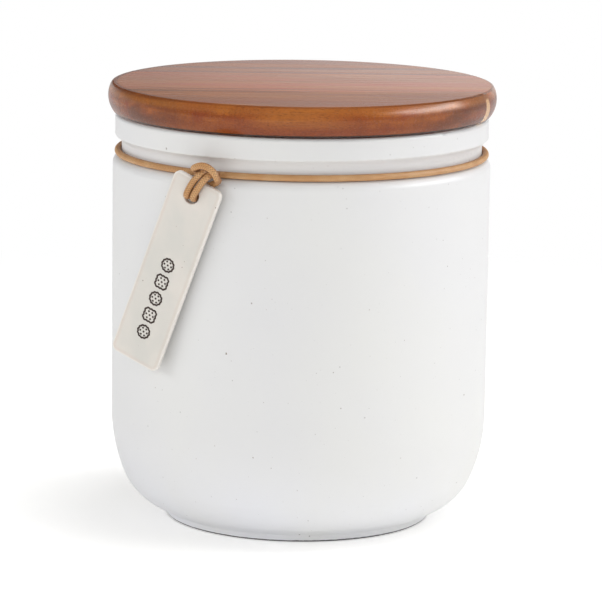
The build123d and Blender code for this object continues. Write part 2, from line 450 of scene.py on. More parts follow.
@dataclass(frozen=True)
class PatinaAndShade:
    """Age of the lid's wood, with painted shade and painted reflection.
    Levels count up from its top, reaches out from its rim.
    """

    top: float = 181.0
    rim: float = 80.0
    dry: Colour = srgb(138, 88, 44)
    # Painted reflection: the top's dry tint turns paler and greyer towards the back.
    dry_back_and_painted_reflection: Colour = srgb(180, 142, 125)
    # Red-brown wood with painted shade: the lower rim is redder and darker.
    low_rim_red_and_shade: Colour = srgb(132, 62, 28)
    # Darker wood at the edge's ends; this colour also paints the shade on the top's left.
    end: Colour = srgb(92, 50, 32)
    amber: Colour = srgb(206, 134, 64)
    # Painted shade: dark line along the brink of the top, wider at the left.
    painted_brink_shade: Colour = srgb(92, 36, 14)
    # Painted shadow: near-black ring at the lid's lower edge, in the gap above the jar.
    gap_shadow: Colour = srgb(26, 12, 6)
    patches: Pattern = Pattern((50.0, 12.0, 30.0), (0.3, 0.75), detail=3.0)
    smoke: Pattern = Pattern((14.0, 14.0, 5.0), (0.25, 0.6))
    face_levels: Span = (-0.25, -0.02)
    dry_shares: Span = (0.25, 0.60)
    front_to_back: Span = (-15.0, 45.0)
    edge_reaches: Span = (-2.8, -1.6)
    low_rim_shade_levels: Span = (-4.0, -9.5)
    low_rim_shade_share: float = 0.6
    towards_ends: Span = (36.0, 64.0)
    end_share: float = 0.8
    towards_middle: Span = (32.0, 6.0)
    low_amber_levels: Span = (-10.0, -6.0)
    low_amber_share: float = 0.3
    high_amber_levels: Span = (-4.6, -2.2)
    high_amber_shares: Span = (0.32, 0.18)
    towards_left: Span = (-40.0, -64.0)
    brink_reaches: Span = (-4.5, -3.0)
    brink_starts: Span = (-0.9, -1.9)
    brink_end: float = -0.3
    brink_shares: Span = (0.45, 0.6)
    shade_spread: Span = (-24.0, -72.0)
    shade_share: float = 0.2
    gap_shadow_levels: Span = (-11.2, -11.7)
    gap_shadow_reaches: Span = (-4.5, -2.9)

    def age(self, shader: Shader, place: Socket, spot: Spot, colour: Socket) -> Socket:
        """Wood's colour once its top face has dried and its turned edge has darkened at its ends,
        with painted shade on the lower rim, along the top's brink, on the top's left and in the gap
        under the lid, and the top painted paler towards the back as reflection.

        Args:
            shader: Shader of the board.
            place: Place in the board's own tree, which the patterns follow.
            spot: Place on the lid.
            colour: Colour of the fresh wood.

        Returns:
            The aged colour.
        """
        face = shader.over(spot.z, self.face_levels, self.top)
        edge = shader.over(spot.radius, self.edge_reaches, self.rim)
        dry = shader.times(shader.blend(self.patches.cover(shader, place), *self.dry_shares), face)
        # Painted reflection: paler and greyer towards the back.
        tint = shader.mix(shader.over(spot.y, self.front_to_back), self.dry, self.dry_back_and_painted_reflection)
        colour = shader.mix(dry, colour, tint)
        # Painted shade on the lower rim.
        low_rim = shader.over(spot.z, self.low_rim_shade_levels, self.top)
        colour = shader.mix(shader.times(edge, low_rim, self.low_rim_shade_share), colour, self.low_rim_red_and_shade)
        aside = shader.math("ABSOLUTE", spot.x)
        smoky = shader.times(shader.over(aside, self.towards_ends), edge)
        smoky = shader.times(smoky, self.smoke.cover(shader, place), self.end_share)
        colour = shader.mix(smoky, colour, self.end)
        middle = shader.over(aside, self.towards_middle)
        for share, levels in (
            (shader.times(middle, self.low_amber_share), self.low_amber_levels),
            (shader.blend(middle, *self.high_amber_shares), self.high_amber_levels),
        ):
            amber = shader.times(edge, shader.over(spot.z, levels, self.top), share)
            colour = shader.mix(amber, colour, self.amber)
        # Painted shade along the top's brink.
        colour = shader.mix(self.brink(shader, spot, edge), colour, self.painted_brink_shade)
        # Painted shade on the left of the top face.
        shade = shader.times(face, shader.over(spot.x, self.shade_spread), self.shade_share)
        colour = shader.mix(shade, colour, self.end)
        # Painted shadow in the gap between the lid and the jar's rim.
        under = shader.times(
            shader.over(spot.z, self.gap_shadow_levels, self.top),
            shader.over(spot.radius, self.gap_shadow_reaches, self.rim),
        )
        return shader.mix(under, colour, self.gap_shadow)

    def brink(self, shader: Shader, spot: Spot, edge: Socket) -> Socket:
        """Painted shade along the brink of the top, in a band that is wider at the left.

        Args:
            shader: Shader of the board.
            spot: Place on the lid.
            edge: How much of the turned edge shows, 0 to 1.

        Returns:
            The share of the painted brink shade, 0 to 1.
        """
        left = shader.over(spot.x, self.towards_left)
        wide = shader.times(shader.over(spot.radius, self.brink_reaches, self.rim), left)
        start = shader.blend(left, *(self.top + level for level in self.brink_starts))
        upper = shader.rise(spot.z, start, self.top + self.brink_end)
        share = shader.blend(left, *self.brink_shares)
        return shader.times(shader.either(wide, edge), upper, share)


@dataclass(frozen=True)
class Sapwood:
    """A wedge of pale wood at one corner of a board, thinner towards the lid's top."""

    start: float = 58.0
    fade: float = 14.0
    edge: float = -27.0
    slope: float = 0.35
    blur: float = 0.8
    levels: Span = (-1.8, -3.2)

    def cover(self, shader: Shader, spot: Spot, top: float) -> Socket:
        """How much of the wedge shows, 0 to 1.

        Args:
            shader: Shader of the board.
            spot: Place on the lid.
            top: Height of the lid's top.

        Returns:
            The cover, 0 to 1.
        """
        along = shader.rise(spot.x, self.start, self.start + self.fade)
        along = shader.times(along, shader.over(spot.z, self.levels, top))
        depth = shader.math("SUBTRACT", top, spot.z)
        edge = shader.math("MULTIPLY_ADD", depth, self.slope, self.edge)
        beyond = shader.math("SUBTRACT", spot.y, edge)
        return shader.times(along, shader.rest(shader.rise(beyond, 0.0, self.blur)))


@dataclass(frozen=True)
class AcaciaBoard:
    """Oiled acacia, its grain along X. Each board has its own place in its own tree."""

    slot: Slot
    pith: tuple[float, float]
    ring_width: float
    shift: Point
    dark: Colour
    middle: Colour
    light: Colour
    red: Colour
    pale: Colour = srgb(222, 176, 128)
    pore: Colour = srgb(58, 24, 8)
    patina_and_shade: PatinaAndShade = PatinaAndShade()
    sapwood: Sapwood | None = None
    fibre: Pattern = Pattern((30.0, 0.5, 0.5), (0.42, 0.75), detail=3.0, rough=0.6)
    curl: Pattern = Pattern((1.3, 6.0, 4.0), (0.45, 0.7), detail=1.0)
    pores: Pattern = Pattern((2.6, 0.24, 0.24), (0.62, 0.72), detail=1.0, rough=0.4)
    fleck: Pattern = Pattern((0.8, 0.34, 0.34))
    sway: Pattern = Pattern((150.0, 40.0, 40.0))
    ripple: Pattern = Pattern((45.0, 4.0, 4.0), detail=3.0)
    blush: Pattern = Pattern((110.0, 9.0, 9.0), (0.44, 0.62))
    sway_depth: float = 9.0
    ripple_depth: float = 2.6
    ring_stops: tuple[float, ...] = (0.30, 0.43, 0.56, 0.70)
    rim_levels: Span = (-0.5, -0.1)
    streak_shares: Span = (0.12, 0.36)
    dark_flecks: Span = (0.5, 0.75)
    light_flecks: Span = (0.5, 0.25)
    fleck_share: float = 0.34
    pore_shares: Span = (0.12, 0.57)
    joint: float = 29.0
    joint_width: float = 0.16
    glue_share: float = 0.25
    relief: float = 0.02
    fibre_relief: float = 0.3
    roughness: Span = (0.19, 0.33)
    shine: Span = (0.58, 0.40)
    dulling: float = -0.50
    dull_spread: Span = (-35.0, 35.0)
    dull_levels: Span = (-0.3, -0.05)

    def make(self) -> Material:
        """Builds the material.

        Returns:
            The material.
        """
        shader = Shader(self.slot.value)
        place = shader.vector("ADD", shader.place, self.shift)
        spot, top = Spot.of(shader), self.patina_and_shade.top
        rim = shader.rest(shader.over(spot.z, self.rim_levels, top))
        fibre = self.fibre.value(shader, place)
        colour = self.rings(shader, place, spot)
        streaks = shader.blend(rim, *self.streak_shares)
        for shown in (shader.over(fibre, self.fibre.span), self.curl.cover(shader, place)):
            colour = shader.mix(shader.times(shown, streaks), colour, self.dark)
        colour = self.patina_and_shade.age(shader, place, spot, colour)
        if self.sapwood is not None:
            colour = shader.mix(self.sapwood.cover(shader, spot, top), colour, self.pale)
        fleck = self.fleck.value(shader, place)
        for span, tint in ((self.dark_flecks, self.dark), (self.light_flecks, self.light)):
            amount = shader.times(shader.over(fleck, span), self.fleck_share, rim)
            colour = shader.mix(amount, colour, tint)
        pores = self.pores.cover(shader, place)
        pores = shader.times(pores, shader.blend(rim, *self.pore_shares))
        colour = shader.mix(pores, colour, self.pore)
        beyond = shader.math("SUBTRACT", shader.math("ABSOLUTE", spot.y), self.joint)
        glue = shader.rest(shader.rise(shader.math("ABSOLUTE", beyond), 0.0, self.joint_width))
        colour = shader.mix(shader.times(glue, self.glue_share), colour, self.pore)
        relief = shader.math("SUBTRACT", shader.times(fibre, self.fibre_relief), pores)
        dull = shader.rest(shader.over(spot.y, self.dull_spread))
        dull = shader.times(dull, shader.over(spot.z, self.dull_levels, top))
        shine = (dull, self.dulling, shader.blend(rim, *self.shine))
        return shader.finish(
            Base_Color=colour,
            Roughness=shader.blend(fibre, *self.roughness),
            Normal=shader.bump(relief, self.relief),
            Specular_IOR_Level=shader.math("MULTIPLY_ADD", *shine),
        )

    def rings(self, shader: Shader, place: Socket, spot: Spot) -> Socket:
        """Colour of the growth rings round the pith, with redder stretches along the grain.

        Args:
            shader: Shader of the board.
            place: Place in the board's own tree.
            spot: Place on the lid.

        Returns:
            The colour.
        """
        aside = shader.math("SUBTRACT", spot.y, self.pith[0])
        above = shader.math("SUBTRACT", spot.z, self.pith[1])
        ring = shader.length(shader.join(0.0, aside, above))
        for wave, depth in ((self.sway, self.sway_depth), (self.ripple, self.ripple_depth)):
            ring = shader.math("MULTIPLY_ADD", wave.value(shader, place), depth, ring)
        inputs = {"W": shader.math("DIVIDE", ring, self.ring_width), "Scale": 1.0, "Detail": 3.0}
        bands = shader.add("ShaderNodeTexNoise", inputs, noise_dimensions="1D").outputs[0]
        colours = (self.dark, self.middle, self.light, self.middle)
        colour = shader.ramp(bands, list(zip(self.ring_stops, colours)))
        return shader.mix(self.blush.cover(shader, place), colour, self.red)


@dataclass(frozen=True)
class SealSilicone:
    """Milky soft silicone with a matte, faintly dusty skin."""

    milk: Colour = srgb(226, 226, 222)
    cloud: Colour = srgb(208, 208, 204)
    clouds: Pattern = Pattern((9.0, 9.0, 4.0), (0.35, 0.7), detail=3.0)
    dust: Pattern = Pattern(even(0.4))
    roughness: Span = (0.42, 0.62)
    relief: float = 0.01
    depth: float = 1.2
    depth_share: float = 0.35

    def make(self) -> Material:
        """Builds the material.

        Returns:
            The material.
        """
        shader = Shader(Slot.SEAL.value)
        dust = self.dust.value(shader)
        shader.surface.subsurface_method = "RANDOM_WALK"
        return shader.finish(
            Base_Color=shader.mix(self.clouds.cover(shader), self.milk, self.cloud),
            Roughness=shader.blend(dust, *self.roughness),
            Normal=shader.bump(dust, self.relief),
            Subsurface_Weight=self.depth_share,
            Subsurface_Scale=self.depth * MM,
        )


@dataclass(frozen=True)
class WaxedCord:
    """Tan braided cord with a little wax.

    It has painted shade between its yarns and where it faces inwards.
    """

    crest: Colour = srgb(215, 163, 108)
    # Painted shade between the yarns; the same colour also darkens the fibres.
    groove_shade_and_fibre: Colour = srgb(120, 72, 36)
    worn: Colour = srgb(226, 180, 128)
    # Painted shade where the cord turns towards the jar.
    inward_shade: Colour = srgb(146, 94, 52)
    tone: Pattern = Pattern(even(6.0), (0.35, 0.7), detail=3.0)
    fibre: Pattern = Pattern(even(0.16), (0.5, 0.8))
    crests: Span = (0.15, 0.95)
    fibre_share: float = 0.3
    outward: Span = (0.0, 0.75)
    inward_shade_share: float = 0.7
    relief: float = 0.02
    roughness: float = 0.5
    sheen: float = 0.05
    sheen_roughness: float = 0.4

    def make(self) -> Material:
        """Builds the material.

        Returns:
            The material.
        """
        shader = Shader(Slot.CORD.value)
        rib = shader.add("ShaderNodeAttribute", attribute_name=Braid.RIB).outputs["Fac"]
        fibre = self.fibre.value(shader)
        crest = shader.mix(self.tone.cover(shader), self.crest, self.worn)
        # Painted shade in the grooves between the ribs.
        colour = shader.mix(shader.over(rib, self.crests), self.groove_shade_and_fibre, crest)
        amount = shader.times(shader.over(fibre, self.fibre.span), self.fibre_share)
        colour = shader.mix(amount, colour, self.groove_shade_and_fibre)
        outwards = shader.vector("NORMALIZE", shader.vector("MULTIPLY", shader.place, LEVEL))
        normal = shader.add("ShaderNodeNewGeometry").outputs["Normal"]
        inputs = {0: normal, 1: outwards}
        facing = shader.add("ShaderNodeVectorMath", inputs, operation="DOT_PRODUCT")
        # Painted shade on the side of the cord that faces the jar.
        inward_shade = shader.rest(shader.over(facing.outputs["Value"], self.outward))
        return shader.finish(
            Base_Color=shader.mix(shader.times(inward_shade, self.inward_shade_share), colour, self.inward_shade),
            Roughness=self.roughness,
            Normal=shader.bump(fibre, self.relief),
            Sheen_Weight=self.sheen,
            Sheen_Roughness=self.sheen_roughness,
        )


@dataclass(frozen=True)
class TagGlaze:
    """Cream glaze on the tag, thinner and paler on its edges with a warm line just inside them."""

    cream: Colour = srgb(233, 227, 219)
    grey: Colour = srgb(224, 221, 214)
    edge: Colour = srgb(244, 239, 232)
    warm: Colour = srgb(222, 203, 188)
    speck: Colour = srgb(120, 84, 58)
    clouds: Pattern = Pattern((14.0, 14.0, 22.0), (0.35, 0.68), detail=3.0)
    uneven: Pattern = Pattern(even(6.0))
    waves: Pattern = Pattern(even(4.0))
    waver: Span = (-0.35, 0.35)
    warm_reaches: Span = (1.1, 2.4)
    warm_share: float = 0.25
    edge_reaches: Span = (0.3, 0.95)
    relief: float = 0.12
    roughness: float = 0.30
    specks: tuple[Specks, ...] = (
        Specks(spacing=4.2, radius=0.26, share=0.5, strength=0.9, shift=5.0),
        Specks(spacing=2.4, radius=0.14, share=0.5, strength=0.6, shift=17.0),
    )

    def make(self, tag: "Tag") -> Material:
        """Builds the material.

        Args:
            tag: The tag, for its place and outline.

        Returns:
            The material.
        """
        shader = Shader(Slot.TAG.value)
        reach = shader.math("ADD", self.reach(shader, tag), self.wavering(shader))
        colour = shader.mix(self.clouds.cover(shader), self.cream, self.grey)
        warm = shader.times(shader.rest(shader.over(reach, self.warm_reaches)), self.warm_share)
        colour = shader.mix(warm, colour, self.warm)
        pale = shader.rest(shader.over(reach, self.edge_reaches))
        colour = shader.mix(pale, colour, self.edge)
        for specks in self.specks:
            colour = shader.mix(specks.cover(shader), colour, self.speck)
        normal = shader.bump(self.waves.value(shader), self.relief)
        return shader.finish(Base_Color=colour, Roughness=self.roughness, Normal=normal)

    def wavering(self, shader: Shader) -> Socket:
        """How far the bands along the edge stray in and out."""
        return shader.blend(self.uneven.value(shader), *self.waver)

    def reach(self, shader: Shader, tag: "Tag") -> Socket:
        """Distance of a point inwards from the outline of the tag.

        Args:
            shader: Shader of the glaze.
            tag: The tag.

        Returns:
            The distance, in millimetres.
        """
        inverse = tag.pose().inverted()
        inputs = {
            "Vector": shader.place,
            "Location": tuple(inverse.to_translation() / MM),
            "Rotation": tuple(inverse.to_euler()),
        }
        turned = shader.add("ShaderNodeMapping", inputs).outputs[0]
        centred = shader.vector("SUBTRACT", turned, (*tag.plate_middle(), 0.0))
        beyond = []
        for value, size in zip(shader.parts(centred), (tag.width, tag.length)):
            value = shader.math("SUBTRACT", shader.math("ABSOLUTE", value), size / 2 - tag.corner)
            beyond.append(shader.either(value, 0.0))
        return shader.math("SUBTRACT", tag.corner, shader.length(shader.join(*beyond, 0.0)))


@dataclass(frozen=True)
class TagInk:
    """Dark brown fired ink of the marks on the tag."""

    brown: Colour = srgb(58, 44, 38)
    thin: Colour = srgb(92, 72, 60)
    grain: Pattern = Pattern(even(0.3), (0.45, 0.8), detail=3.0)
    roughness: float = 0.42

    def make(self) -> Material:
        """Builds the material.

        Returns:
            The material.
        """
        shader = Shader("tag_ink")
        colour = shader.mix(self.grain.cover(shader), self.brown, self.thin)
        return shader.finish(Base_Color=colour, Roughness=self.roughness)


# ---------------- geometry


def linked(name: str, data: bpy.types.ID) -> Object:
    """Puts given data into the scene as a new object.

    Args:
        name: Name of the object.
        data: Mesh, curve, lamp or camera that it holds.

    Returns:
        The object.
    """
    made = bpy.data.objects.new(name, data)
    bpy.context.scene.collection.objects.link(made)
    return made


def baked(name: str, holder: Object) -> Object:
    """Plain mesh object of another object's evaluated geometry, which is then removed.

    Args:
        name: Name of the new object.
        holder: Object with the live modifier or curve.

    Returns:
        The new object, at the origin, with no modifiers and no empty material slots.
    """
    bpy.context.view_layer.update()
    evaluated = holder.evaluated_get(bpy.context.evaluated_depsgraph_get())
    mesh = bpy.data.meshes.new_from_object(evaluated)
    bpy.data.objects.remove(holder)
    for index in reversed(range(len(mesh.materials))):
        if mesh.materials[index] is None:
            mesh.materials.pop(index=index)
    mesh.name = name
    return linked(name, mesh)


class GeometryTree(Graph):
    """A Geometry Nodes tree with a named input for each value that it is run with."""

    KINDS = {
        float: "NodeSocketFloat",
        int: "NodeSocketInt",
        Material: "NodeSocketMaterial",
    }
    GEOMETRY = "NodeSocketGeometry"

    def __init__(self, name: str, values: dict[str, object]) -> None:
        """Makes the tree.

        Args:
            name: Name of the tree.
            values: Value of each input, by its name.
        """
        super().__init__(bpy.data.node_groups.new(name, "GeometryNodeTree"))
        face = self.tree.interface
        face.new_socket("Geometry", in_out="INPUT", socket_type=self.GEOMETRY)
        for label, value in values.items():
            face.new_socket(label, in_out="INPUT", socket_type=self.KINDS[type(value)])
        face.new_socket("Geometry", in_out="OUTPUT", socket_type=self.GEOMETRY)
        self.values = values
        self.given = self.add("NodeGroupInput").outputs

    def made(self, kind: str, inputs: dict | None = None, **settings: object) -> Socket:
        """First output of a new geometry node, its type named without GeometryNode."""
        return self.add("GeometryNode" + kind, inputs, **settings).outputs[0]

    def both(self, geometries: Sequence[Socket]) -> Socket:
        """Several geometries as one.

        Args:
            geometries: The geometries.

        Returns:
            The joined geometry.
        """
        joined = self.add("GeometryNodeJoinGeometry")
        for geometry in geometries:
            self.plug(geometry, joined.inputs[0])
        return joined.outputs[0]

    def end(self, geometry: Socket) -> None:
        """Realizes the instances, sets the material and gives the result out.

        Args:
            geometry: The finished geometry.
        """
        real = self.made("RealizeInstances", {0: geometry})
        dressed = self.made("SetMaterial", {0: real, 2: self.given["Material"]})
        self.add("NodeGroupOutput", {0: dressed})

    def run(self, name: str, holder: Object, **changes: object) -> Object:
        """Applies the tree to an object and returns the plain mesh.

        Args:
            name: Name of the finished piece.
            holder: Object that the tree reads, which is removed.
            changes: Values that differ for this piece, with spaces as underscores.

        Returns:
            The finished piece.
        """
        modifier = holder.modifiers.new("shape", "NODES")
        modifier.node_group = self.tree
        values = self.values | {key.replace("_", " "): value for key, value in changes.items()}
        for item in self.tree.interface.items_tree:
            if item.in_out == "INPUT" and item.name in values:
                modifier[item.identifier] = values[item.name]
        return baked(name, holder)


# ---------------- cord


@dataclass
class Braid:
    """Braided cover of a round cord, as ribs that zigzag round it."""

    RIB = "rib"
    radius: float = 1.35
    rib_pitch: float = 0.92
    rib_sharpness: float = 0.6
    relief: float = 0.12
    zigzags: float = 5.0
    zigzag_depth: float = 0.34
    sides: int = 28
    step: float = 0.13

    def tree(self, material: Material) -> GeometryTree:
        """Builds the tree that turns a line of edges into braided cord.

        Args:
            material: Material of the cord.

        Returns:
            The tree.
        """
        values = {
            "Radius": self.radius * MM,
            "Rib Pitch": self.rib_pitch * MM,
            "Relief": self.relief * MM,
            "Zigzags": self.zigzags,
            "Zigzag Depth": self.zigzag_depth,
            "Sides": self.sides,
            "Step": self.step * MM,
            "Round End": 0.0,
            "Material": material,
        }
        tree = GeometryTree("braid", values)
        given = tree.given
        line = tree.made("MeshToCurve", {0: given["Geometry"]})
        line = tree.made("ResampleCurve", {0: line, "Length": given["Step"]}, mode="LENGTH")
        run = tree.add("GeometryNodeSplineParameter").outputs["Length"]
        left = tree.math("SUBTRACT", tree.made("CurveLength", {0: line}), run)
        line = self.store(tree, line, "along", run)
        circle = tree.made("CurvePrimitiveCircle", {0: given["Sides"], "Radius": 1.0})
        turn = tree.times(tree.add("GeometryNodeSplineParameter").outputs["Factor"], TURN)
        ring = self.store(tree, circle, "around", turn)
        scale = tree.times(self.dome(tree, left, given["Round End"]), given["Radius"])
        inputs = {"Curve": line, "Profile Curve": ring, "Scale": scale, "Fill Caps": True}
        tube = tree.made("CurveToMesh", inputs)
        along = tree.made("InputNamedAttribute", {0: "along"})
        around = tree.made("InputNamedAttribute", {0: "around"})
        sway = tree.math("SINE", tree.times(around, given["Zigzags"]))
        phase = tree.math("DIVIDE", along, given["Rib Pitch"])
        phase = tree.math("ADD", phase, tree.times(sway, given["Zigzag Depth"]))
        rib = tree.math("ABSOLUTE", tree.math("COSINE", tree.times(phase, pi)))
        rib = tree.math("POWER", rib, self.rib_sharpness)
        tube = self.store(tree, tube, self.RIB, rib)
        lift = tree.times(tree.math("SUBTRACT", rib, 1.0), given["Relief"])
        offset = tree.vector("SCALE", tree.made("InputNormal"), lift)
        tube = tree.made("SetPosition", {0: tube, "Offset": offset})
        tree.end(tree.made("SetShadeSmooth", {0: tube, 2: True}))
        return tree

    def dome(self, tree: GeometryTree, distance: Socket, reach: Socket) -> Socket:
        """Share of the full radius at a distance from an end that is rounded over reach.

        Args:
            tree: Tree of the braid.
            distance: Distance along the cord from its end.
            reach: Length that is rounded.

        Returns:
            The share, 0 to 1.
        """
        share = tree.math("DIVIDE", tree.math("ADD", distance, TINY), tree.either(reach, TINY))
        rest = tree.rest(tree.math("MINIMUM", share, 1.0))
        return tree.math("SQRT", tree.rest(tree.times(rest, rest)))

    def store(self, tree: GeometryTree, geometry: Socket, name: str, value: Socket) -> Socket:
        """Geometry with a value kept on its points under a name."""
        inputs = {0: geometry, 2: name, 3: value}
        return tree.made("StoreNamedAttribute", inputs, domain="POINT")


@dataclass
class NeckCord:
    """The cord: two runs round the neck, tied behind, and the hitch through the tag."""

    tag: "Tag"
    finish: WaxedCord
    braid: Braid = field(default_factory=Braid)
    ring_radius: float = 75.9
    height: float = 152.544
    ring_step: float = 12.0
    left_reach: float = 4.37
    right_reach: float = 5.43
    hitch_lead: float = 3.3
    strand_level: float = 2.98
    strand_side: float = 1.475
    knot_azimuth: float = 152.0
    knot_stand: float = 5.2
    knot_approach: float = 18.0
    knot_lead: float = 3.0
    tail_round: float = 1.0
    under_end: tuple[Point, ...] = (
        (-8.3, 1.4, -1.5),
        (-5.4, 1.5, -1.6),
        (-1.5, 1.5, 1.5),
        (1.5, 4.2, 1.5),
        (6.4, 4.4, -1.5),
        (6.4, -4.4, -1.5),
        (1.5, -4.2, 1.5),
        (-1.5, -1.5, 1.5),
        (-5.4, -1.5, -1.6),
        (-8.3, -1.5, -1.5),
        (-12.0, -2.6, -1.1),
    )
    over_tail: Point = (12.0, -2.6, 0.7)

    def ring_point(self, azimuth: float, radius: float) -> Vector:
        """Point of the cord's level at an azimuth counted from the front towards +X."""
        turn = radians(azimuth)
        return Vector((radius * sin(turn), -radius * cos(turn), self.height))

    def tangent(self, azimuth: float) -> Vector:
        """Unit vector along the ring, towards growing azimuth."""
        return Vector((cos(radians(azimuth)), sin(radians(azimuth)), 0.0))

    def junction(self, side: int) -> float:
        """Azimuth where the hitch meets the run on its left (-1) or right (+1) side."""
        reach = self.left_reach if side < 0 else self.right_reach
        return self.tag.facing + side * degrees(reach / self.ring_radius)

    def hitch_route(self) -> list[Vector]:
        """Points of the hitch: over its own ends, through the tag's hole and back.

        Returns:
            The points, in millimetres.
        """
        level, side = self.strand_level, self.strand_side
        points = (
            (1.6, 11.0, -level),
            (1.75, 11.3, 1.9),
            (0.6, 9.3, level),
            (-0.9, 5.0, level),
            (-side, -0.9, level),
            (-side, -0.9, -level),
            (-1.6, 4.0, -level),
            (-2.0, 7.4, -level),
            (-2.8, 10.3, -1.5),
            (-2.8, 10.7, 1.5),
            (-1.9, 12.1, 3.3),
            (0.8, 14.6, 3.7),
            (4.6, 15.1, 3.8),
            (7.3, 13.8, 3.3),
            (8.3, 11.6, 2.0),
            (7.9, 10.3, -1.3),
            (6.2, 7.7, -level),
            (2.0, 4.4, -level),
            (side, -0.7, -level),
            (side, -0.7, level),
            (2.3, 4.6, level),
            (3.8, 9.4, level),
            (4.8, 11.8, 2.0),
            (4.75, 11.2, -level),
        )
        left, right = self.junction(-1), self.junction(1)
        start = self.ring_point(left, self.ring_radius)
        end = self.ring_point(right, self.ring_radius)
        route = [start, start + self.tangent(left) * self.hitch_lead]
        route += [self.tag.pose_point(point) for point in points]
        route += [end - self.tangent(right) * self.hitch_lead, end]
        return route

    def run_route(self, side: int) -> list[Vector]:
        """Points of the run that leaves the hitch on one side, up to its end beyond the knot.

        Args:
            side: -1 for the run to the left, 1 for the run to the right.

        Returns:
            The points, in millimetres.
        """
        start = self.junction(side)
        end = self.knot_azimuth - side * degrees(self.knot_approach / self.ring_radius)
        if side < 0:
            end -= 360.0
        count = round(abs(end - start) / self.ring_step)
        step = (end - start) / count
        outer = self.ring_radius / cos(radians(step / 2))
        route = [self.ring_point(start, self.ring_radius)]
        route += [self.ring_point(start + step * (index + 0.5), outer) for index in range(count)]
        lead = self.tangent(end) * side * self.knot_lead
        route.append(self.ring_point(end, self.ring_radius) + lead)
        knot_points = self.under_end
        if side < 0:
            knot_points = tuple((-across, up, -out) for across, up, out in self.under_end[:-1])
            knot_points += (self.over_tail,)
        middle = self.ring_point(self.knot_azimuth, self.ring_radius + self.knot_stand)
        along, outwards = self.tangent(self.knot_azimuth), self.ring_point(self.knot_azimuth, 1.0)
        outwards.z = 0.0
        for across, up, out in knot_points:
            route.append(middle + along * across + outwards * out + Vector((0.0, 0.0, up)))
        return route

    def line(self, name: str, route: Sequence[Vector]) -> Object:
        """Edges along the smooth curve that a route's points control.

        Args:
            name: Name of the object.
            route: Control points, in millimetres.

        Returns:
            A mesh object of vertices and edges.
        """
        curve = bpy.data.curves.new(name, "CURVE")
        curve.dimensions = "3D"
        spline = curve.splines.new("NURBS")
        spline.points.add(len(route) - 1)
        for point, place in zip(spline.points, route):
            point.co = (*(place * MM), 1.0)
        spline.order_u = 3
        spline.use_endpoint_u = True
        spline.resolution_u = 16
        return baked(name, linked(name, curve))

    def build(self) -> list[Object]:
        """Builds the three cord pieces and puts them on their bodies.

        Returns:
            The three pieces.
        """
        tree = self.braid.tree(self.finish.make())
        pieces = []
        for node, body, route, tail in (
            ("cord_left", "cord", self.run_route(-1), self.tail_round),
            ("cord_right", "cord", self.run_route(1), self.tail_round),
            ("cord_hitch", "hitch", self.hitch_route(), 0.0),
        ):
            name = node + "_braid"
            piece = tree.run(name, self.line(name + "_line", route), Round_End=tail * MM)
            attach(piece, body)
            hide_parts(node)
            pieces.append(piece)
        return pieces


# ---------------- tag


